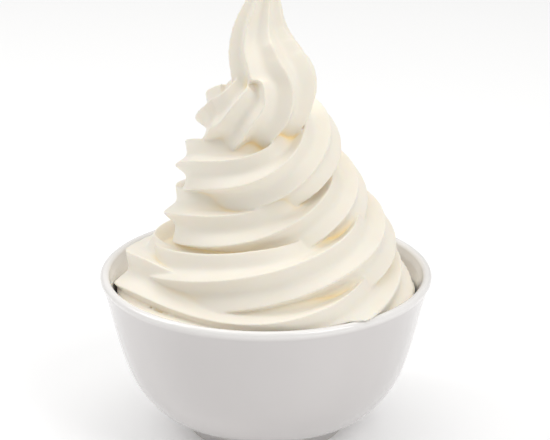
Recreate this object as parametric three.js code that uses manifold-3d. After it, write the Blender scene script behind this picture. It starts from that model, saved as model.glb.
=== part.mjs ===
// A cup of frozen yogurt: a white glazed bowl on a foot ring, filled with a ribbed rope of soft
// yogurt that coils up in four turns and ends in a pulled peak.
// Millimetres, +Z up, front toward -Y. The origin is on the table, under the middle of the foot ring.

import * as THREE from "three";
import { mergeVertices } from "three/addons/utils/BufferGeometryUtils.js";
import Module from "manifold-3d";

const wasm = await Module();
wasm.setup();

// ---- bowl ----
const bowlHeight = 60;
const bowlSides = 56;              // facets round the bowl
const footRadius = 28.6;
const footHeight = 4.4;
const footRingWidth = 5;
const footRecess = 2.2;            // how far the underside sits above the table inside the ring
const footTop = [29.6, 4.9];       // where the foot's side turns out into the body
// outer radius of the body at each height above the table
const bodyProfile = [
  [31.6, 5.5],
  [36, 7.7],
  [41, 11],
  [45.4, 15.8],
  [49.2, 21.8],
  [52.3, 30],
  [55, 40],
  [57.5, 50.5],
  [59.2, 56.8],
];
const lipRadius = 60;
const lipThickness = 3.4;
const wallThickness = 4;
const floorThickness = 9;          // of the bowl's middle, above the table

// ---- yogurt ----
const bowlGap = 0.3;               // kept between the yogurt and the glaze
const fillHeight = 51.5;           // level of the yogurt that lies under the coil
const fillSlope = 0.095;           // how it rises toward the front
const fillSides = 0.06;            // and toward both sides
// the coil: turn 0 starts at the left of the bowl, every turn runs left, front, right, back
// axis to rope at each turn's left and right
const reach = [38.3, 38, 29.8, 32.5, 22.6, 22.8, 19.3, 13.6, 11.4, 9];
// the rope's height, every quarter turn
const heights = [
  55, 54.4, 55.5, 57.5,
  60.3, 67.8, 72, 77,
  80.3, 81.8, 87.5, 92.5,
  98.8, 102.2, 108.2, 112.2,
  117.2, 122.4,
];
const depth = [40.3, 33.5, 24.5, 20.2, 12.5];      // axis to rope at each turn's front
const pointed = [0.35, 0.2, 0.2, 0.18, 0.2];     // how sharply each turn bends at the left
const setBack = [0, -4, 2, 1.5, 0];              // each turn's middle, toward the back
// every half turn
const ropeRadius = [17, 15, 14.6, 14.5, 14.4, 14, 13.3, 13.2, 13.8, 13.6];
const ribs = 8;
const grooveDepth = 0.24;          // of the rope's radius
const slowTwist = 180;             // degrees the ribs lag behind the turn, in the two lower turns
const fastTwist = 90;              // and in the two upper ones
const peakTwist = -28;             // degrees they turn back where the rope is pulled up
const startTurn = -0.17;
// the rope's rounded first end: how far out and how wide, as shares of its radius
const startRounding = [[0.96, 0.3], [0.72, 0.74]];
const coilTurns = 4.08;            // where the rope leaves the coil for the peak
const ringsPerTurn = 21;
const peakRings = 16;
// the rope's middle from the coil round the front and up to the tip
const peakPath = [
  [-4, -11, 122.6],
  [1.2, -11, 126],
  [3.5, -8.5, 131.4],
  [0.9, -5, 138],
  [-1.3, -2, 144],
  [-2, -0.5, 150],
  [-1.2, 0, 157],
  [0.7, 0, 166],
  [3.8, 0.5, 175],
];
const peakTop = 175;
const peakFull = 15.4;             // rope radius at the foot of the peak
const peakHeight = 133;            // where the rope begins to thin toward the tip
const peakTaper = 1.25;            // over 1 keeps the peak full lower down
const tipRadius = 0.5;
const bendShare = 0.8;             // inner side of a bend, as a share of the bend's own radius
// what the coil closes round, from the fill up
const coreProfile = [
  [0, 40],
  [36, 44],
  [33, 54],
  [24, 66],
  [19, 80],
  [15, 96],
  [9, 108],
  [6, 120],
  [0, 126],
];

const up = new THREE.Vector3(0, 0, 1);

// a value along evenly spaced knots, smooth through every knot
function along(values, position) {
  const last = values.length - 1;
  const at = THREE.MathUtils.clamp(position, -0.6, last + 0.4);
  const i = THREE.MathUtils.clamp(Math.floor(at), 0, last - 1);
  const slope = (k) => (values[Math.min(k + 1, last)] - values[Math.max(k - 1, 0)])
    / (Math.min(k + 1, last) - Math.max(k - 1, 0));
  const f = at - i;
  const rise = values[i + 1] - values[i];
  const a = slope(i) - rise;
  const b = rise - slope(i + 1);
  return values[i] + f * rise + f * (1 - f) * (a * (1 - f) + b * f);
}

class CoilCurve extends THREE.Curve {
  getPoint(turn) {
    const angle = turn * 2 * Math.PI;
    const side = Math.cos(angle);
    const x = -along(reach, turn * 2) * side;
    const y = -along(depth, turn - 0.25) * Math.sin(angle) * (1 - along(pointed, turn - 0.25) * side)
      + along(setBack, turn);
    return new THREE.Vector3(x, y, along(heights, turn * 4));
  }
}

const coil = new CoilCurve();
const step = 0.001;
function coilTangent(turn) {
  return coil.getPoint(turn + step).sub(coil.getPoint(turn - step)).normalize();
}

// the last stretch runs on from the coil and is pulled up to the tip
const coilEnd = coil.getPoint(coilTurns);
const peakCurve = new THREE.CatmullRomCurve3([coilEnd, ...peakPath.map((p) => new THREE.Vector3(...p))]);

function twistAt(turn) {
  const fast = Math.min(turn, 4) - 2;
  const degrees = fast > 0 ? fast * fastTwist : fast * slowTwist;
  return THREE.MathUtils.degToRad(degrees - 90);
}

// one ring of the rope: a star of ribs square to the path, whose ribs keep the nozzle's bearing
function ring(centre, tangent, bend, radius, twist) {
  const turnUp = new THREE.Quaternion().setFromUnitVectors(up, tangent);
  const points = [];
  for (let i = 0; i < ribs * 2; i++) {
    const angle = (i * Math.PI) / ribs + twist;
    const share = i % 2 === 0 ? 1 : 1 - grooveDepth;
    const point = new THREE.Vector3(Math.cos(angle), Math.sin(angle), 0)
      .multiplyScalar(radius * share)
      .applyQuaternion(turnUp);
    const inward = bend.length() > 0 ? bend.clone().normalize() : new THREE.Vector3();
    const reachIn = point.dot(inward);
    const limit = bend.length() > 0 ? bendShare / bend.length() : Infinity;
    if (reachIn > limit) point.addScaledVector(inward, limit - reachIn);
    points.push(point.add(centre));
  }
  return points;
}

// rings along a stretch of the rope, from its points, with the bend found between neighbours
function rings(points, tangents, radii, twists) {
  return points.slice(1, -1).map((centre, k) => {
    const i = k + 1;
    const length = points[i + 1].distanceTo(points[i - 1]);
    const bend = tangents[i + 1].clone().sub(tangents[i - 1]).divideScalar(length);
    return ring(centre, tangents[i], bend, radii[i], twists[i]);
  });
}

function solid(vertices, triangles) {
  let geometry = new THREE.BufferGeometry();
  geometry.setAttribute("position", new THREE.Float32BufferAttribute(vertices, 3));
  geometry.setIndex(triangles);
  geometry = mergeVertices(geometry, 1e-5);
  return new wasm.Manifold(new wasm.Mesh({
    numProp: 3,
    vertProperties: new Float32Array(geometry.attributes.position.array),
    triVerts: new Uint32Array(geometry.index.array),
  }));
}

// closed tube through a run of rings, with a flat fan at each end
function tube(run) {
  const sides = run[0].length;
  const middle = (loop) => loop.reduce((sum, p) => sum.add(p), new THREE.Vector3()).divideScalar(sides);
  const vertices = run.flat().concat([middle(run[0]), middle(run.at(-1))]);
  const start = run.length * sides;
  const triangles = [];
  for (let j = 0; j < sides; j++) {
    const next = (j + 1) % sides;
    for (let i = 0; i < run.length - 1; i++) {
      const a = i * sides + j;
      const b = i * sides + next;
      triangles.push(a, b, b + sides, a, b + sides, a + sides);
    }
    const end = (run.length - 1) * sides;
    triangles.push(start, next, j, start + 1, end + j, end + next);
  }
  return solid(vertices.flatMap((p) => [p.x, p.y, p.z]), triangles);
}

function lathe(profile, sides = bowlSides) {
  const geometry = new THREE.LatheGeometry(profile.map(([r, z]) => new THREE.Vector2(r, z)), sides);
  geometry.rotateX(Math.PI / 2);
  geometry.deleteAttribute("normal");
  geometry.deleteAttribute("uv");
  const merged = mergeVertices(geometry, 1e-4);
  const index = [];
  for (let i = 0; i < merged.index.count; i += 3) {
    const [a, b, c] = [0, 1, 2].map((k) => merged.index.getX(i + k));
    if (a !== b && b !== c && c !== a) index.push(a, b, c);
  }
  merged.setIndex(index);
  return merged;
}

// a lathed solid; what lies above slopeFrom is raised toward the front and toward both sides
function latheSolid(profile, slope = 0, sides = 0, slopeFrom = 0) {
  const geometry = lathe(profile);
  const place = geometry.attributes.position;
  for (let i = 0; i < place.count; i++) {
    const raised = sides * Math.abs(place.getX(i)) - slope * place.getY(i);
    if (place.getZ(i) > slopeFrom) place.setZ(i, place.getZ(i) + raised);
  }
  return solid([...place.array], [...geometry.index.array]);
}

// ---- the bowl's two skins ----
const outerWall = [footTop, ...bodyProfile];
const innerWall = bodyProfile
  .map(([r, z], i) => {
    const [r0, z0] = outerWall[i];
    const [r1, z1] = i + 1 < bodyProfile.length ? bodyProfile[i + 1] : [lipRadius, bowlHeight];
    const slant = Math.hypot(r1 - r0, z1 - z0);
    const thick = THREE.MathUtils.lerp(wallThickness, lipThickness, i / (bodyProfile.length - 1));
    return [r - (thick * (z1 - z0)) / slant, z + (thick * (r1 - r0)) / slant];
  })
  .filter(([, z]) => z > floorThickness + 2.5);
const wellProfile = [
  [0, floorThickness],
  [19, floorThickness + 0.3],
  [29, floorThickness + 1.4],
  ...innerWall,
];

const bowlProfile = [
  [0, footRecess],
  [footRadius - footRingWidth - 1.2, footRecess],
  [footRadius - footRingWidth, 0],
  [footRadius - 0.6, 0],
  [footRadius, 0.7],
  [footRadius, footHeight],
  ...outerWall,
  [lipRadius, bowlHeight - 1.5],
  [lipRadius - 0.4, bowlHeight - 0.5],
  [lipRadius - 1.5, bowlHeight],
  [lipRadius - 2.7, bowlHeight - 0.4],
  ...wellProfile.slice().reverse(),
];

// ---- the rope of yogurt ----
const turnsPerTube = 0.5;
const tubes = Math.round((coilTurns - startTurn) / turnsPerTube);
const ringsPerTube = Math.round(((coilTurns - startTurn) * ringsPerTurn) / tubes);
const turnStep = (coilTurns - startTurn) / (tubes * ringsPerTube);
const turns = Array.from({ length: tubes * ringsPerTube + 3 }, (_, i) => startTurn + (i - 1) * turnStep);
const coilRings = rings(
  turns.map((t) => coil.getPoint(t)),
  turns.map(coilTangent),
  turns.map((t) => along(ropeRadius, t * 2)),
  turns.map(twistAt),
);

// the rounded end that the rope starts with
const startTangent = coilTangent(startTurn);
const startRadius = along(ropeRadius, startTurn * 2);
const startRings = startRounding.map(([out, wide]) => {
  const centre = coil.getPoint(startTurn).addScaledVector(startTangent, -out * startRadius);
  return ring(centre, startTangent, new THREE.Vector3(), wide * startRadius, twistAt(startTurn));
});

const stretches = [tube([...startRings, coilRings[0]])];
for (let i = 0; i < tubes; i++) {
  stretches.push(tube(coilRings.slice(i * ringsPerTube, (i + 1) * ringsPerTube + 1)));
}

// how far the rope has passed from the coil to the foot of the peak
function risen(point) {
  return THREE.MathUtils.smoothstep(point.z, coilEnd.z, peakHeight);
}

function twistAbove(point) {
  return twistAt(coilTurns) + THREE.MathUtils.degToRad(peakTwist) * risen(point);
}

// the rope thins from the foot of the peak to the tip
function peakRadius(point) {
  const share = THREE.MathUtils.clamp((point.z - peakHeight) / (peakTop - peakHeight), 0, 1);
  const full = THREE.MathUtils.lerp(along(ropeRadius, coilTurns * 2), peakFull, risen(point));
  return Math.max(full * (1 - share ** peakTaper), tipRadius);
}
const peakSteps = Array.from({ length: peakRings + 1 }, (_, i) => i / peakRings);
const peakPoints = peakSteps.map((u) => peakCurve.getPointAt(u));
const peakTangents = peakSteps.map((u) => peakCurve.getTangentAt(u));
const peakRun = rings(
  [
    coil.getPoint(coilTurns - turnStep),
    ...peakPoints,
    peakPoints.at(-1).clone().add(peakTangents.at(-1)),
  ],
  [coilTangent(coilTurns - turnStep), ...peakTangents, peakTangents.at(-1)],
  [0, ...peakPoints.map(peakRadius), 0],
  [0, ...peakPoints.map(twistAbove), 0],
);
stretches.push(tube([coilRings.at(-1), ...peakRun.slice(1)]));

// the yogurt under the coil, cut to the well of the bowl below
const fillBottom = floorThickness - 4;
const fillReach = lipRadius - 2;
const fillProfile = [
  [0, fillBottom],
  [fillReach, fillBottom],
  [fillReach, fillHeight - 2],
  [50, fillHeight],
  [0, fillHeight + 2],
];
const aboveAll = peakTop + 10;
const outsideAll = lipRadius + 6;
const well = [
  [0, floorThickness + bowlGap],
  ...wellProfile.slice(1).map(([r, z]) => [r - bowlGap, z + bowlGap * 0.5]),
  [lipRadius - 2.9 - bowlGap, bowlHeight + 0.2],
  [outsideAll, bowlHeight + 0.8],
  [outsideAll, aboveAll],
  [0, aboveAll],
];
const filled = stretches
  .reduce((sum, piece) => sum.add(piece), latheSolid(coreProfile))
  .add(latheSolid(fillProfile, fillSlope, fillSides, fillBottom + 1))
  .intersect(latheSolid(well));
// the outer skin alone, without any small pocket closed in between the turns
const yogurt = filled.decompose().sort((a, b) => b.volume() - a.volume())[0];

function toGeometry(manifold) {
  const mesh = manifold.getMesh();
  const geometry = new THREE.BufferGeometry();
  geometry.setAttribute("position", new THREE.Float32BufferAttribute(mesh.vertProperties, 3));
  geometry.setIndex(new THREE.Uint32BufferAttribute(mesh.triVerts, 1));
  geometry.computeVertexNormals();
  return geometry;
}

const glaze = new THREE.MeshStandardMaterial({ color: 0xe9e6e4, roughness: 0.12, metalness: 0 });
const bowl = new THREE.Mesh(lathe(bowlProfile), glaze);
bowl.name = "bowl";

const cream = new THREE.MeshStandardMaterial({ color: 0xf4ecdc, roughness: 0.55, metalness: 0 });
const frozenYogurt = new THREE.Mesh(toGeometry(yogurt), cream);
frozenYogurt.name = "frozen_yogurt";

const cup = new THREE.Group();
cup.add(bowl, frozenYogurt);

export default cup;
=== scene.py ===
# Frozen yogurt cup: a glazed bowl and the ribbed swirl of yogurt piped into it.
# Metres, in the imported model's frame: the table is z = 0, and -Y is the front.

import math

import bmesh
import bpy
import numpy as np
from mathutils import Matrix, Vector


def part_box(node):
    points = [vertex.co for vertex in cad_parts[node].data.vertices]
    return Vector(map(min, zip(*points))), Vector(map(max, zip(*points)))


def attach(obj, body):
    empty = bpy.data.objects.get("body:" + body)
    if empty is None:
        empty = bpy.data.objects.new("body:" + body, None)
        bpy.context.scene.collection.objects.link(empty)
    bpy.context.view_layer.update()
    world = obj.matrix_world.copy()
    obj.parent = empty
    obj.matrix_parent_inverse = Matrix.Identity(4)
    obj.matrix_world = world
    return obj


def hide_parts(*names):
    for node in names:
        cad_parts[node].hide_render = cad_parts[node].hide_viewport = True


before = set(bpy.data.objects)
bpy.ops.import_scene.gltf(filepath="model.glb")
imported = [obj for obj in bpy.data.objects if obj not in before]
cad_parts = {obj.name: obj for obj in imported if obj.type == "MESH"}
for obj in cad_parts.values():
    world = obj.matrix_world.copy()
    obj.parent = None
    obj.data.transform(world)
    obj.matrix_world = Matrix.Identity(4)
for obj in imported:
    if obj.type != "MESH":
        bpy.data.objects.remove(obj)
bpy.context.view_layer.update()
bowlLow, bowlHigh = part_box("bowl")
swirlLow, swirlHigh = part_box("frozen_yogurt")
mm = 0.001
weld = 0.01 * mm
print("frame loaded:", sorted(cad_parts))


# A value along evenly spaced knots, smooth through every knot and for a little way past the ends.
def along(values, position):
    beforeFirst, pastLast = 0.6, 0.4
    last = len(values) - 1
    at = min(max(position, -beforeFirst), last + pastLast)
    i = min(max(math.floor(at), 0), last - 1)

    def slope(k):
        before, after = max(k - 1, 0), min(k + 1, last)
        return (values[after] - values[before]) / (after - before)

    f = at - i
    rise = values[i + 1] - values[i]
    a = slope(i) - rise
    b = rise - slope(i + 1)
    return values[i] + f * rise + f * (1 - f) * (a * (1 - f) + b * f)


def smoothStep(value, low, high):
    x = min(max((value - low) / (high - low), 0), 1)
    return x * x * (3 - 2 * x)


# Short forms for building node trees.
def addNode(tree, kind, inputs=None, **settings):
    made = tree.nodes.new(kind)
    for name, value in settings.items():
        setattr(made, name, value)
    for key, value in (inputs or {}).items():
        if isinstance(value, bpy.types.NodeSocket):
            tree.links.new(value, made.inputs[key])
        else:
            made.inputs[key].default_value = value
    return made


def maths(tree, operation, *values):
    return addNode(tree, "ShaderNodeMath", dict(enumerate(values)), operation=operation).outputs[0]


def vectors(tree, operation, *values):
    made = addNode(tree, "ShaderNodeVectorMath", dict(enumerate(values)), operation=operation)
    return made.outputs["Value" if operation in ("DOT_PRODUCT", "LENGTH", "DISTANCE") else "Vector"]


def scaled(tree, vector, factor):
    made = addNode(tree, "ShaderNodeVectorMath", {0: vector, "Scale": factor}, operation="SCALE")
    return made.outputs["Vector"]


def newGeometryTree(name, sockets):
    tree = bpy.data.node_groups.new(name, "GeometryNodeTree")
    tree.interface.new_socket("Geometry", in_out="OUTPUT", socket_type="NodeSocketGeometry")
    tree.interface.new_socket("Geometry", in_out="INPUT", socket_type="NodeSocketGeometry")
    for label, kind in sockets.items():
        tree.interface.new_socket(label, in_out="INPUT", socket_type="NodeSocket" + kind)
    return tree, tree.nodes.new("NodeGroupInput").outputs, tree.nodes.new("NodeGroupOutput").inputs


# The last nodes of both geometry trees: real geometry instead of instances, and its material.
def closeTree(tree, geometry, material, result):
    real = addNode(tree, "GeometryNodeRealizeInstances", {"Geometry": geometry})
    done = addNode(tree, "GeometryNodeSetMaterial", {"Geometry": real.outputs[0], "Material": material})
    tree.links.new(done.outputs[0], result["Geometry"])


def useTree(obj, tree, values):
    modifier = obj.modifiers.new(tree.name, "NODES")
    modifier.node_group = tree
    for item in tree.interface.items_tree:
        if item.in_out == "INPUT" and item.name in values:
            modifier[item.identifier] = values[item.name]


def link(name, data):
    obj = bpy.data.objects.new(name, data)
    bpy.context.scene.collection.objects.link(obj)
    return obj


# The evaluated object as a plain mesh object at the origin, in place of the one with modifiers.
def settle(obj, name):
    graph = bpy.context.evaluated_depsgraph_get()
    mesh = bpy.data.meshes.new_from_object(obj.evaluated_get(graph), depsgraph=graph)
    mesh.name = name
    plain = link(name, mesh)
    bpy.data.objects.remove(obj)
    return plain


def makePath(name, points, radii, tilts):
    data = bpy.data.curves.new(name, "CURVE")
    data.dimensions = "3D"
    spline = data.splines.new("POLY")
    spline.points.add(len(points) - 1)
    for knot, place, radius, tilt in zip(spline.points, points, radii, tilts):
        knot.co = (*place, 1)
        knot.radius = radius
        knot.tilt = tilt
    return link(name, data)


# A visible piece's size beside that of the CAD node that it stands for.
def printSize(piece, low, high):
    shown, stoodFor = ([round(v, 4) for v in size] for size in (piece.dimensions, high - low))
    print(piece.name + ":", len(piece.data.polygons), "faces,", shown, "for", stoodFor)


# A closed solid turned about Z from a profile of (radius, height) that starts and ends on the axis.
def turned(name, profile, sides):
    build = bmesh.new()
    rings = []
    for r, z in profile:
        if r < 1e-7:
            rings.append([build.verts.new((0, 0, z))] * sides)
        else:
            turn = [2 * math.pi * k / sides for k in range(sides)]
            rings.append([build.verts.new((r * math.cos(a), r * math.sin(a), z)) for a in turn])
    for low, high in zip(rings, rings[1:]):
        for k in range(sides):
            n = (k + 1) % sides
            corners = list(dict.fromkeys((low[k], low[n], high[n], high[k])))
            if len(corners) > 2:
                build.faces.new(corners)
    bmesh.ops.recalc_face_normals(build, faces=build.faces)
    mesh = bpy.data.meshes.new(name)
    build.to_mesh(mesh)
    build.free()
    mesh.shade_smooth()
    return link(name, mesh)


def newMaterial(name, **sockets):
    material = bpy.data.materials.new(name)
    material.use_nodes = True
    shader = material.node_tree.nodes["Principled BSDF"]
    for label, value in sockets.items():
        shader.inputs[label.replace("_", " ")].default_value = value
    return material, material.node_tree, shader


# Fine grain and slow waves of a surface mixed into one height, and the slow waves alone as a mask.
def makeGrainGroup():
    tree = bpy.data.node_groups.new("surfaceGrain", "ShaderNodeTree")
    for label in ("Fine Scale", "Wave Scale", "Fine Share"):
        tree.interface.new_socket(label, in_out="INPUT", socket_type="NodeSocketFloat")
    for label in ("Height", "Waves"):
        tree.interface.new_socket(label, in_out="OUTPUT", socket_type="NodeSocketFloat")
    given = tree.nodes.new("NodeGroupInput").outputs
    place = tree.nodes.new("ShaderNodeTexCoord").outputs["Object"]
    fine = addNode(tree, "ShaderNodeTexNoise", {
        "Vector": place, "Scale": given["Fine Scale"], "Detail": 3.0}).outputs[0]
    waves = addNode(tree, "ShaderNodeTexNoise", {
        "Vector": place, "Scale": given["Wave Scale"], "Detail": 2.0}).outputs[0]
    height = addNode(tree, "ShaderNodeMix", {0: given["Fine Share"], 2: waves, 3: fine}).outputs[0]
    result = tree.nodes.new("NodeGroupOutput").inputs
    tree.links.new(height, result["Height"])
    tree.links.new(waves, result["Waves"])
    return tree


grainGroup = makeGrainGroup()


def addGrain(tree, look):
    made = tree.nodes.new("ShaderNodeGroup")
    made.node_tree = grainGroup
    made.inputs["Fine Scale"].default_value = look["fineScale"]
    made.inputs["Wave Scale"].default_value = look["waveScale"]
    made.inputs["Fine Share"].default_value = look["fineShare"]
    return made.outputs


# Two colours mixed by a mask of 0 to 1. The mix node has its colours at inputs 6 and 7, and output 2.
def mixed(tree, mask, first, second):
    return addNode(tree, "ShaderNodeMix", {0: mask, 6: first, 7: second}, data_type="RGBA").outputs[2]


# A mask that runs from 0 where the value is start to 1 where it is end.
def ramp(tree, value, start, end, **settings):
    values = {"Value": value, "From Min": start, "From Max": end}
    return addNode(tree, "ShaderNodeMapRange", values, **settings).outputs[0]


glazeLook = {
    "white": (0.67, 0.64, 0.63, 1),
    "cool": (0.65, 0.625, 0.62, 1),
    "bare": (0.62, 0.59, 0.55, 1),      # the unglazed standing ring
    "bareFrom": 0.98 * mm,
    "bareTo": 0.7 * mm,
    "bareRoughness": 0.8,
    "thick": (0.92, 0.9, 0.88, 1),      # painted light: a lighter white on the inner wall, lifting its shade, and on the lip as a painted highlight
    "insideFrom": 0.3,                  # how far the surface faces out from the axis, as a cosine
    "insideTo": -0.6,
    "lipFrom": 56.5 * mm,
    "lipTo": 58.5 * mm,
    "lipShare": 0.9,
    "roughness": 0.16,
    "coat": 0.6,
    "coatRoughness": 0.06,
    "fineScale": 500.0,
    "waveScale": 35.0,
    "fineShare": 0.15,
    "bumpDepth": 0.05 * mm,
    "bumpStrength": 0.5,
}


def makeGlaze(look):
    material, tree, shader = newMaterial(
        "white glaze", Coat_Weight=look["coat"], Coat_Roughness=look["coatRoughness"], IOR=1.5)
    grain = addGrain(tree, look)
    tint = mixed(tree, grain["Waves"], look["white"], look["cool"])
    coords = addNode(tree, "ShaderNodeTexCoord").outputs
    height = addNode(tree, "ShaderNodeSeparateXYZ", {0: coords["Object"]}).outputs["Z"]

    # painted light: the white is lighter where the wall faces the axis, lifting its shade, and on the lip
    # as a painted highlight
    outward = vectors(tree, "NORMALIZE", vectors(tree, "MULTIPLY", coords["Object"], (1, 1, 0)))
    facing = vectors(tree, "DOT_PRODUCT", coords["Normal"], outward)
    inside = ramp(tree, facing, look["insideFrom"], look["insideTo"])
    onLip = maths(tree, "MULTIPLY", ramp(tree, height, look["lipFrom"], look["lipTo"]), look["lipShare"])
    glazed = mixed(tree, maths(tree, "MAXIMUM", inside, onLip), tint, look["thick"])

    bare = ramp(tree, height, look["bareFrom"], look["bareTo"])
    rough = addNode(tree, "ShaderNodeMapRange", {
        "Value": bare, "To Min": look["roughness"], "To Max": look["bareRoughness"]})
    bump = addNode(tree, "ShaderNodeBump", {
        "Height": grain["Height"], "Distance": look["bumpDepth"], "Strength": look["bumpStrength"]})
    tree.links.new(mixed(tree, bare, glazed, look["bare"]), shader.inputs["Base Color"])
    tree.links.new(rough.outputs[0], shader.inputs["Roughness"])
    tree.links.new(bump.outputs[0], shader.inputs["Normal"])
    return material


yogurtLook = {
    "cream": (0.895, 0.84, 0.725, 1),
    "pale": (0.915, 0.865, 0.775, 1),
    "paintedGapShade": (0.87, 0.71, 0.4, 1),           # painted warm shade, deep in the gaps between turns
    "paintedGapGlow": (0.09, 0.055, 0.018, 1),        # painted glow, given as emission, for light that seeps through into the gaps
    "black": (0, 0, 0, 1),
    "gapShadeFrom": 0.26,
    "gapShadeTo": 0.85,
    "roughness": 0.36,                      # in the smoothest places
    "roughest": 0.5,
    "subsurface": 0.3,
    "subsurfaceRadius": (1.0, 0.7, 0.4),
    "subsurfaceScale": 1.2 * mm,
    "fineScale": 1400.0,
    "waveScale": 120.0,
    "fineShare": 0.45,
    "bumpDepth": 0.1 * mm,
    "bumpStrength": 0.5,
    "dragDepth": 0.12 * mm,                 # fine lines that the nozzle drags along the rope
    "dragStrength": 0.6,
    "dragScale": 900.0,
    "dragStretch": 0.05,
}


def makeYogurt(look):
    material, tree, shader = newMaterial(
        "vanilla yogurt", Subsurface_Weight=look["subsurface"], Subsurface_Radius=look["subsurfaceRadius"],
        Subsurface_Scale=look["subsurfaceScale"], Emission_Strength=1.0, IOR=1.38)
    grain = addGrain(tree, look)
    plain = mixed(tree, grain["Waves"], look["cream"], look["pale"])
    gap = addNode(tree, "ShaderNodeAttribute", attribute_name="gap").outputs["Fac"]
    deep = ramp(tree, gap, look["gapShadeFrom"], look["gapShadeTo"], interpolation_type="SMOOTHSTEP")

    # noise drawn out along the rope
    flow = addNode(tree, "ShaderNodeAttribute", attribute_name="flow").outputs["Vector"]
    drawn = addNode(tree, "ShaderNodeMapping", {"Vector": flow, "Scale": (1, 1, look["dragStretch"])})
    drag = addNode(tree, "ShaderNodeTexNoise", {
        "Vector": drawn.outputs[0], "Scale": look["dragScale"], "Detail": 2.0})
    lines = addNode(tree, "ShaderNodeBump", {
        "Height": drag.outputs[0], "Distance": look["dragDepth"], "Strength": look["dragStrength"]})
    bump = addNode(tree, "ShaderNodeBump", {
        "Height": grain["Height"], "Distance": look["bumpDepth"], "Strength": look["bumpStrength"],
        "Normal": lines.outputs[0]})
    rough = addNode(tree, "ShaderNodeMapRange", {
        "Value": grain["Waves"], "To Min": look["roughness"], "To Max": look["roughest"]})
    # painted light: deep in the gaps the base colour turns to a warm painted shade, and a faint painted
    # glow is given off
    tree.links.new(mixed(tree, deep, look["black"], look["paintedGapGlow"]), shader.inputs["Emission Color"])
    tree.links.new(mixed(tree, deep, plain, look["paintedGapShade"]), shader.inputs["Base Color"])
    tree.links.new(rough.outputs[0], shader.inputs["Roughness"])
    tree.links.new(bump.outputs[0], shader.inputs["Normal"])
    return material


glaze = makeGlaze(glazeLook)
yogurt = makeYogurt(yogurtLook)
print("materials ready")


# The bowl, in millimetres.
bowlSizes = {
    "sides": 160,
    "footRadius": 28.6,
    "footRingWidth": 5,
    "footRecess": 2.2,
    "recessEdge": [[1.6, 2.2], [1, 1.8], [0.4, 0.3]],       # in from the ring's inner side, and height
    "footEdge": [[0.7, 0], [0.2, 0.2], [0, 0.7]],           # in from the ring's outer side, and height
    "footTurn": [[0, 3.9], [0.3, 4.5]],                     # out from the ring's outer side, and height
    "body": [[29.6, 4.9], [31.6, 5.5], [36, 7.7], [41, 11], [45.4, 15.8],      # outer radius and height
             [49.2, 21.8], [52.3, 30], [55, 40], [57.5, 50.5], [59.2, 56.8]],
    "lipThickness": 3.4,
    "wallThickness": 4,
    "floorThickness": 9,
    "floorRise": [[0, 0], [10, 0], [19, 0.3], [29, 1.4]],   # radius, and height above the floor's middle
    "wallFrom": 2.5,                # height above the floor's middle where the wall takes over
    "floorReach": 30,               # the inside is read as floor within this radius, as wall past it
    "lipInside": 2.6,               # from the rim in to where the lip turns down
    "lipDepth": 2.4,                # from the top down to where the lip meets the inner wall
    "lipSteps": 14,
    "stepsPerSpan": 8,
}


def bodyAt(sizes, k):
    return [along([point[i] for point in sizes["body"]], k) for i in (0, 1)]


# The inner wall keeps the wall's thickness from the outer one.
def innerWall(sizes):
    last = len(sizes["body"]) - 1
    slopeStep = 0.05
    points = []
    for n in range(sizes["stepsPerSpan"] * last + 1):
        k = n / sizes["stepsPerSpan"]
        r, z = bodyAt(sizes, k)
        beforeR, beforeZ = bodyAt(sizes, k - slopeStep)
        afterR, afterZ = bodyAt(sizes, k + slopeStep)
        slant = math.hypot(afterR - beforeR, afterZ - beforeZ)
        thick = sizes["wallThickness"] + (sizes["lipThickness"] - sizes["wallThickness"]) * k / last
        point = [r - thick * (afterZ - beforeZ) / slant, z + thick * (afterR - beforeR) / slant]
        if point[1] > sizes["floorThickness"] + sizes["wallFrom"]:
            points.append(point)
    return [*([r, sizes["floorThickness"] + z] for r, z in sizes["floorRise"]), *points]


def bowlProfile(sizes, rim, height):
    foot = sizes["footRadius"]
    ringInside = foot - sizes["footRingWidth"]
    last = len(sizes["body"]) - 1
    outer = [bodyAt(sizes, n / sizes["stepsPerSpan"]) for n in range(sizes["stepsPerSpan"] * last + 1)]
    lip = sizes["lipThickness"] / 2
    turns = [math.pi * k / sizes["lipSteps"] for k in range(sizes["lipSteps"] + 1)]
    bead = [[rim - lip + lip * math.cos(a), height - lip + lip * math.sin(a)] for a in turns]
    inner = [point for point in innerWall(sizes) if point[1] < height - sizes["lipDepth"]]
    profile = [
        [0, sizes["footRecess"]],
        *([ringInside - inward, z] for inward, z in sizes["recessEdge"]),
        [ringInside, 0],
        *([foot - inward, z] for inward, z in sizes["footEdge"]),
        *([foot + outward, z] for outward, z in sizes["footTurn"]),
        *outer,
        *bead,
        *reversed(inner)]
    return [(r * mm, z * mm) for r, z in profile]


rim = bowlHigh.x / mm
bowl = turned("white_bowl", bowlProfile(bowlSizes, rim, bowlHigh.z / mm), bowlSizes["sides"])
bowl.data.materials.append(glaze)
printSize(bowl, bowlLow, bowlHigh)


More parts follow.
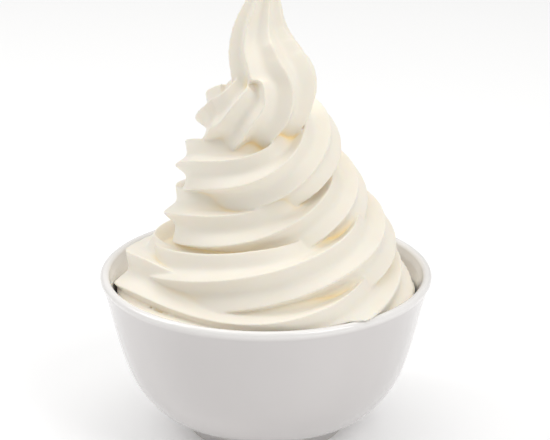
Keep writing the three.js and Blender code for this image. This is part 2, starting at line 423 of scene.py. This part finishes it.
# The piped swirl, in millimetres and turns. Turn 0 starts at the left of the bowl; every turn runs
# left, front, right, back.
swirlSizes = {
    "reach": [38.3, 38, 29.8, 32.5, 22.6, 22.8, 19.3, 13.6, 11.4, 9],   # axis to rope, every half turn
    "heights": [55, 54.4, 55.5, 57.5,                                   # of the rope, every quarter turn
                60.3, 67.8, 72, 77,
                80.3, 81.8, 87.5, 92.5,
                98.8, 102.2, 108.2, 112.2,
                117.2, 122.4],
    "depth": [40.3, 33.5, 24.5, 20.2, 12.5],    # axis to rope at each turn's front
    "pointed": [0.35, 0.2, 0.2, 0.18, 0.2],     # how sharply it bends at the left
    "setBack": [0, -4, 2, 1.5, 0],              # each turn's middle, to the back
    "ropeRadius": [17, 15, 14.6, 14.5, 14.4, 14, 13.3, 13.2, 13.8, 13.6],
    "startTurn": -0.17,
    "headingStep": 0.001,           # turns over which the first end's direction is measured
    "startBulge": 0.96,             # length of the rounded first end, as a share of its radius
    "startRings": 12,
    "coilTurns": 4.08,
    "coilRings": 420,
    "lowerTwist": 180,              # degrees that the ribs are twisted in each lower turn
    "upperTwist": 90,               # and in each upper turn
    "twistChange": 2,               # turns up to here are lower ones
    "twistEnd": 4,                  # the twist stays as it is past this turn
    "twistOffset": -90,             # the twist, in degrees, where lower turns end
    "peakTwist": -28,               # turned back where it is pulled up
    "peakRings": 120,
    "peakPath": [[-4, -11, 122.6], [1.2, -11, 126], [3.5, -8.5, 131.4], [0.9, -5, 138], [-1.3, -2, 144],
                 [-2, -0.5, 150], [-1.2, 0, 157], [0.7, 0, 166], [3.8, 0.5, 175]],
    "peakHeight": 133,              # where the rope begins to thin
    "peakFull": 15.4,               # its radius there
    "peakTaper": 1.25,              # over 1 keeps the peak full lower down
    "tipRadius": 0.7,
    "tipRings": 3,                  # the last rings close to a point
    "core": [[36, 44], [33, 54], [24, 66], [19, 80], [15, 96], [9, 108], [6, 120], [0, 126]],
    "coreSides": 96,
    "fillFloor": 0.5,               # above the bowl's floor
    "fillReach": 54,
    "fillFlat": 50,                 # the fill's top is bevelled past this radius
    "fillHeight": 51.5,
    "fillEdge": 1,                  # how far down the bevel goes
    "fillSlope": 0.095,             # the fill rises to the front
    "fillSides": 0.06,              # and to both sides
    "ribs": 8,
    "groove": 0.25,                 # groove depth, as a share of the radius
    "bendShare": 0.8,               # the most a rope reaches in at a bend, as a share of the bend's radius
    "bendStep": 0.003,              # share of the path over which a bend is measured
    "unevenness": 0.05,             # how much the rope's radius wanders, as a share of it
    "unevenScale": 60.0,
    "seed": 3,
    "rings": 900,
    "sides": 128,
    "voxel": 0.42,                  # cell in which the turns are joined into one skin
    "softness": 0.5,
    "softPasses": 2,
    "gapSpread": 260,               # passes of smoothing
    "gapDepth": 3.0,                # a gap this deep is marked 1
    "wellGap": 0.25,                # kept from the glaze
    "mostTriangles": 190000,
}


def coilPoint(s, t):
    angle = t * 2 * math.pi
    side = math.cos(angle)
    x = -along(s["reach"], t * 2) * side
    y = -along(s["depth"], t - 0.25) * math.sin(angle) * (1 - along(s["pointed"], t - 0.25) * side)
    return Vector((x, y + along(s["setBack"], t), along(s["heights"], t * 4)))


# A centripetal curve through the points, as a function of 0 to 1.
def curveThrough(points):
    ends = [points[0] * 2 - points[1], *points, points[-1] * 2 - points[-2]]

    def at(u):
        k = min(int(u * (len(points) - 1)), len(points) - 2)
        p = ends[k:k + 4]
        knots = [0.0]
        for a, b in zip(p, p[1:]):
            knots.append(knots[-1] + math.sqrt((b - a).length))
        x = knots[1] + (u * (len(points) - 1) - k) * (knots[2] - knots[1])
        while len(p) > 1:
            if len(p) == 4:
                spans = list(zip(knots, knots[1:]))
            elif len(p) == 3:
                spans = [(knots[0], knots[2]), (knots[1], knots[3])]
            else:
                spans = [(knots[1], knots[2])]
            p = [a.lerp(b, (x - lo) / (hi - lo)) for a, b, (lo, hi) in zip(p, p[1:], spans)]
        return p[0]

    return at


def twistAt(s, t):
    past = min(t, s["twistEnd"]) - s["twistChange"]
    return math.radians(past * s["upperTwist" if past > 0 else "lowerTwist"] + s["twistOffset"])


def ropeRun(s):
    points, radii, twists = [], [], []
    start = s["startTurn"]
    first = coilPoint(s, start)
    heading = (coilPoint(s, start + s["headingStep"]) - first).normalized()
    firstRadius = along(s["ropeRadius"], start * 2)
    for k in range(s["startRings"]):        # the rounded end that the rope starts with
        out = 1 - math.sin(math.pi / 2 * k / s["startRings"])
        points.append(first - heading * firstRadius * out * s["startBulge"])
        radii.append(firstRadius * math.sqrt(max(1 - out * out, 0)))
        twists.append(twistAt(s, start))
    for k in range(s["coilRings"] + 1):
        t = start + (s["coilTurns"] - start) * k / s["coilRings"]
        points.append(coilPoint(s, t))
        radii.append(along(s["ropeRadius"], t * 2))
        twists.append(twistAt(s, t))
    last, lastRadius = points[-1], radii[-1]
    peak = curveThrough([last, *map(Vector, s["peakPath"])])
    top = s["peakPath"][-1][2]
    for k in range(1, s["peakRings"] + 1):
        point = peak(k / s["peakRings"])
        share = min(max((point.z - s["peakHeight"]) / (top - s["peakHeight"]), 0), 1)
        eased = smoothStep(point.z, last.z, s["peakHeight"])
        full = lastRadius * (1 - eased) + s["peakFull"] * eased
        tip = s["tipRadius"] * min(1, (s["peakRings"] - k) / s["tipRings"])
        points.append(point)
        radii.append(max(full * (1 - share ** s["peakTaper"]), tip))
        twists.append(twistAt(s, s["coilTurns"]) + math.radians(s["peakTwist"]) * eased)
    return [p * mm for p in points], [r * mm for r in radii], twists


# Sweeps a star of ribs along the path. The ribs keep the nozzle's bearing: each ring is the level star
# turned the shortest way onto the path, so the ribs climb and fan out round every turn.
def makeSweepTree():
    tree, given, result = newGeometryTree("ribbedRope", {
        "Path": "Object", "Rings": "Int", "Sides": "Int", "Ribs": "Int", "Groove": "Float",
        "Bend Share": "Float", "Bend Step": "Float", "Length": "Float", "Unevenness": "Float",
        "Uneven Scale": "Float", "Seed": "Int", "Material": "Material"})
    source = addNode(tree, "GeometryNodeObjectInfo", {"Object": given["Path"]}).outputs["Geometry"]
    sheet = addNode(tree, "GeometryNodeMeshGrid", {
        "Size X": 1.0, "Size Y": 1.0, "Vertices X": given["Rings"], "Vertices Y": given["Sides"]})
    corner = tree.nodes.new("GeometryNodeInputPosition").outputs[0]
    place = addNode(tree, "ShaderNodeSeparateXYZ", {0: corner})
    u = maths(tree, "ADD", place.outputs["X"], 0.5)
    around = maths(tree, "MULTIPLY", maths(tree, "ADD", place.outputs["Y"], 0.5), 2 * math.pi)

    def sample(factor, field=None):
        values = {"Curves": source, "Factor": factor}
        if field:
            values["Value"] = field
        return addNode(tree, "GeometryNodeSampleCurve", values, mode="FACTOR", data_type="FLOAT").outputs

    here = sample(u, tree.nodes.new("GeometryNodeInputRadius").outputs[0])
    tilt = sample(u, tree.nodes.new("GeometryNodeInputCurveTilt").outputs[0])
    before = sample(maths(tree, "SUBTRACT", u, given["Bend Step"]))
    after = sample(maths(tree, "ADD", u, given["Bend Step"]))

    # the star, with sharp ribs and round grooves
    wave = maths(tree, "ABSOLUTE", maths(tree, "SINE", maths(tree, "MULTIPLY", maths(
        tree, "MULTIPLY", around, given["Ribs"]), 0.5)))
    share = maths(tree, "SUBTRACT", 1.0, maths(tree, "MULTIPLY", wave, given["Groove"]))
    angle = maths(tree, "ADD", around, tilt["Value"])
    noise = addNode(tree, "ShaderNodeTexNoise", {
        "Vector": here["Position"], "W": given["Seed"], "Scale": given["Uneven Scale"],
        "Detail": 1.0}, noise_dimensions="4D")
    offset = maths(tree, "SUBTRACT", noise.outputs[0], 0.5)
    swell = maths(tree, "MULTIPLY_ADD", offset, given["Unevenness"], 1.0)
    radius = maths(tree, "MULTIPLY", maths(tree, "MULTIPLY", here["Value"], share), swell)
    star = addNode(tree, "ShaderNodeCombineXYZ", {
        0: maths(tree, "COSINE", angle), 1: maths(tree, "SINE", angle)}).outputs[0]
    upward = (0.0, 0.0, 1.0)
    axis = vectors(tree, "CROSS_PRODUCT", upward, here["Tangent"])
    lean = maths(tree, "ARCCOSINE", vectors(tree, "DOT_PRODUCT", upward, here["Tangent"]))
    turn = addNode(tree, "FunctionNodeAxisAngleToRotation", {"Axis": axis, "Angle": lean}).outputs[0]
    spoke = addNode(tree, "FunctionNodeRotateVector", {
        "Vector": scaled(tree, star, radius), "Rotation": turn}).outputs[0]

    # the inner side of a bend stops short of the bend's own centre
    change = vectors(tree, "SUBTRACT", after["Tangent"], before["Tangent"])
    length = vectors(tree, "DISTANCE", after["Position"], before["Position"])
    bend = scaled(tree, change, maths(tree, "DIVIDE", 1.0, length))
    inward = vectors(tree, "NORMALIZE", bend)
    limit = maths(tree, "DIVIDE", given["Bend Share"], vectors(tree, "LENGTH", bend))
    reachIn = vectors(tree, "DOT_PRODUCT", spoke, inward)
    excess = maths(tree, "MAXIMUM", maths(tree, "SUBTRACT", reachIn, limit), 0.0)
    kept = vectors(tree, "SUBTRACT", spoke, scaled(tree, inward, excess))
    swept = addNode(tree, "GeometryNodeSetPosition", {
        "Geometry": sheet.outputs["Mesh"], "Position": vectors(tree, "ADD", here["Position"], kept)})
    flow = addNode(tree, "ShaderNodeCombineXYZ", {
        0: maths(tree, "MULTIPLY", maths(tree, "COSINE", around), radius),
        1: maths(tree, "MULTIPLY", maths(tree, "SINE", around), radius),
        2: maths(tree, "MULTIPLY", u, given["Length"])})
    marked = addNode(tree, "GeometryNodeStoreNamedAttribute", {
        "Geometry": swept.outputs[0], "Name": "flow", "Value": flow.outputs[0]}, data_type="FLOAT_VECTOR")
    merged = addNode(tree, "GeometryNodeMergeByDistance", {"Geometry": marked.outputs[0], "Distance": weld})
    joined = addNode(tree, "GeometryNodeJoinGeometry")
    tree.links.new(merged.outputs[0], joined.inputs[0])
    tree.links.new(given["Geometry"], joined.inputs[0])
    closeTree(tree, joined.outputs[0], given["Material"], result)
    return tree


# Marks each point of the skin with its place along the rope, and with how deep in a gap it lies:
# the distance from the point out to the same skin smoothed over a few millimetres.
def makeMarkTree():
    tree, given, result = newGeometryTree("skinMarks", {
        "Rope": "Object", "Spread": "Int", "Deepest": "Float", "Material": "Material"})
    place = tree.nodes.new("GeometryNodeInputPosition").outputs[0]
    smooth = addNode(tree, "GeometryNodeBlurAttribute", {
        "Value": place, "Iterations": given["Spread"]}, data_type="FLOAT_VECTOR").outputs[0]
    normal = tree.nodes.new("GeometryNodeInputNormal").outputs["Normal"]
    depth = vectors(tree, "DOT_PRODUCT", vectors(tree, "SUBTRACT", smooth, place), normal)
    # the gap mark is what the yogurt's painted shade and glow in the gaps follow
    gap = addNode(tree, "GeometryNodeStoreNamedAttribute", {
        "Geometry": given["Geometry"], "Name": "gap",
        "Value": maths(tree, "DIVIDE", depth, given["Deepest"])}, data_type="FLOAT")
    rope = addNode(tree, "GeometryNodeObjectInfo", {"Object": given["Rope"]}).outputs["Geometry"]
    flow = addNode(tree, "GeometryNodeInputNamedAttribute", {"Name": "flow"}, data_type="FLOAT_VECTOR")
    nearest = addNode(tree, "GeometryNodeSampleNearestSurface", {
        "Mesh": rope, "Value": flow.outputs[0]}, data_type="FLOAT_VECTOR")
    marked = addNode(tree, "GeometryNodeStoreNamedAttribute", {
        "Geometry": gap.outputs[0], "Name": "flow", "Value": nearest.outputs[0]}, data_type="FLOAT_VECTOR")
    closeTree(tree, marked.outputs[0], given["Material"], result)
    return tree


# What the rope lies on and closes round: the yogurt in the bowl, raised to the front and the sides,
# and a core up the middle of the coil.
def fillAndCore(s):
    floor = bowlSizes["floorThickness"] + s["fillFloor"]
    edge = s["fillHeight"] - s["fillEdge"]
    reach = s["fillReach"]
    margin = 1
    profile = [[0, floor], [reach, floor], [reach, edge], [s["fillFlat"], s["fillHeight"]], *s["core"]]
    made = turned("yogurtCore", [(r * mm, z * mm) for r, z in profile], s["coreSides"])
    for corner in made.data.vertices:
        if corner.co.xy.length > (s["fillFlat"] - margin) * mm and corner.co.z > (edge - margin) * mm:
            corner.co.z += s["fillSides"] * abs(corner.co.x) - s["fillSlope"] * corner.co.y
    return made


# The whole swirl as one skin: path, sweep, joining, marks, and thinning to the triangles allowed.
def makeSwirl(s):
    points, radii, twists = ropeRun(s)
    length = sum((b - a).length for a, b in zip(points, points[1:]))
    ropePath = makePath("ropePath", points, radii, twists)
    rope = fillAndCore(s)
    useTree(rope, makeSweepTree(), {
        "Path": ropePath, "Rings": s["rings"], "Sides": s["sides"] + 1, "Ribs": s["ribs"],
        "Groove": s["groove"], "Bend Share": s["bendShare"], "Bend Step": s["bendStep"],
        "Length": length, "Unevenness": s["unevenness"], "Uneven Scale": s["unevenScale"],
        "Seed": s["seed"], "Material": yogurt})
    rope = settle(rope, "sweptRope")
    print("rope:", len(rope.data.polygons), "faces,", round(length, 3), "m long")
    body = link("skin", rope.data.copy())
    remesh = body.modifiers.new("oneSkin", "REMESH")
    remesh.mode = "VOXEL"
    remesh.voxel_size = s["voxel"] * mm
    remesh.use_smooth_shade = True
    soften = body.modifiers.new("soften", "SMOOTH")
    soften.factor = s["softness"]
    soften.iterations = s["softPasses"]
    useTree(body, makeMarkTree(), {
        "Rope": rope, "Spread": s["gapSpread"], "Deepest": s["gapDepth"] * mm, "Material": yogurt})
    full = settle(body, "fullSkin")
    print("skin before thinning:", len(full.data.polygons), "faces")
    thin = full.modifiers.new("thin", "DECIMATE")
    thin.ratio = min(1, s["mostTriangles"] / (2 * len(full.data.polygons)))
    plain = settle(full, "piped_swirl")
    plain.data.materials.clear()
    plain.data.materials.append(yogurt)
    plain.data.shade_smooth()
    print("skin after thinning:", sum(len(face.vertices) - 2 for face in plain.data.polygons), "triangles")
    for spare in (ropePath, rope):
        bpy.data.objects.remove(spare)
    return plain


# The yogurt presses against the glaze and stays inside the well.
def fitWell(piece, gap):
    wall = [(r * mm, z * mm) for r, z in innerWall(bowlSizes)]
    wall.append(((rim - bowlSizes["lipInside"]) * mm, bowlHigh.z))
    wallR = np.array([r for r, z in wall])
    wallZ = np.array([z for r, z in wall])
    mesh = piece.data
    co = np.empty(len(mesh.vertices) * 3, np.float32)
    mesh.vertices.foreach_get("co", co)
    co = co.reshape(-1, 3)
    r = np.hypot(co[:, 0], co[:, 1])
    overFloor = r < bowlSizes["floorReach"] * mm
    z = np.where(overFloor, np.maximum(co[:, 2], np.interp(r, wallR, wallZ) + gap), co[:, 2])
    limit = np.interp(z, wallZ, wallR, right=1.0) - gap
    keep = np.minimum(1, limit / np.maximum(r, 1e-9))
    co[:, 0] *= keep
    co[:, 1] *= keep
    co[:, 2] = z
    mesh.vertices.foreach_set("co", co.ravel())
    mesh.update()


swirl = makeSwirl(swirlSizes)
fitWell(swirl, swirlSizes["wellGap"] * mm)
printSize(swirl, swirlLow, swirlHigh)

for piece, node, slot in ((bowl, "bowl", "bowl_glaze"), (swirl, "frozen_yogurt", "vanilla_cream")):
    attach(piece, "root")
    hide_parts(node)


# Floor and light, in metres and watts.
stageSizes = {
    "floorHalf": 3.0,
    "floorWhite": (0.95, 0.95, 0.95, 1),
    "floorRoughness": 0.22,
    "floorGlow": 0.12,
    "shownWorld": 1.0,              # the background that is seen
    "litWorld": 0.49,               # the background as a light
    "worldColour": (1, 0.995, 0.985, 1),
    "aim": (0, 0, 0.09),
    "softboxes": {                  # place, width and power
        "overhead": ((0.0, 0.3, 1.25), 1.2, 5.8),
        "left": ((-0.8, 0.15, 0.9), 0.6, 3.4),
        "key": ((0.65, -0.55, 0.95), 0.6, 4.6),
    },
}


def makeFloor(sizes):
    half = sizes["floorHalf"]
    corners = [(-half, -half, 0), (half, -half, 0), (half, half, 0), (-half, half, 0)]
    mesh = bpy.data.meshes.new("table")
    mesh.from_pydata(corners, [], [(0, 1, 2, 3)])
    material = newMaterial(
        "table", Base_Color=sizes["floorWhite"], Roughness=sizes["floorRoughness"], IOR=1.45,
        Emission_Color=(1, 1, 1, 1), Emission_Strength=sizes["floorGlow"])[0]
    mesh.materials.append(material)
    link("table", mesh)


def addSoftbox(name, place, aim, width, power):
    data = bpy.data.lights.new(name, "AREA")
    data.size = width
    data.energy = power
    light = link(name, data)
    light.location = place
    light.rotation_euler = (Vector(aim) - Vector(place)).to_track_quat("-Z", "Y").to_euler()


def setWorld(sizes):
    world = bpy.data.worlds.new("studio")
    bpy.context.scene.world = world
    world.use_nodes = True
    tree = world.node_tree
    lit = tree.nodes["Background"]
    lit.inputs["Color"].default_value = sizes["worldColour"]
    lit.inputs["Strength"].default_value = sizes["litWorld"]
    seen = addNode(tree, "ShaderNodeBackground", {"Color": (1, 1, 1, 1), "Strength": sizes["shownWorld"]})
    rays = addNode(tree, "ShaderNodeLightPath")
    shown = addNode(tree, "ShaderNodeMixShader", {
        0: rays.outputs["Is Camera Ray"], 1: lit.outputs[0], 2: seen.outputs[0]})
    tree.links.new(shown.outputs[0], tree.nodes["World Output"].inputs["Surface"])


makeFloor(stageSizes)
setWorld(stageSizes)
for name, (place, width, power) in stageSizes["softboxes"].items():
    addSoftbox(name, place, stageSizes["aim"], width, power)


# The camera, in metres unless it says otherwise.
cameraSizes = {
    "elevation": 21.3,              # degrees
    "distance": 0.85,
    "aim": (0, 0, 0.059),
    "lens": 153.6,                  # millimetres, as the sensor's width is
    "sensor": 36,
    "shift": (0.0164, 0.0945),
    "nearest": 0.01,
}


def addCamera(sizes):
    data = bpy.data.cameras.new("camera")
    data.lens = sizes["lens"]
    data.sensor_width = sizes["sensor"]
    data.shift_x, data.shift_y = sizes["shift"]
    data.clip_start = sizes["nearest"]
    camera = link("camera", data)
    rise = math.radians(sizes["elevation"])
    away = Vector((0, -math.cos(rise), math.sin(rise)))
    camera.location = Vector(sizes["aim"]) + away * sizes["distance"]
    camera.rotation_euler = (math.pi / 2 - rise, 0, 0)
    bpy.context.scene.camera = camera


addCamera(cameraSizes)
bpy.context.scene.view_settings.view_transform = "Standard"
print("stage and camera set")
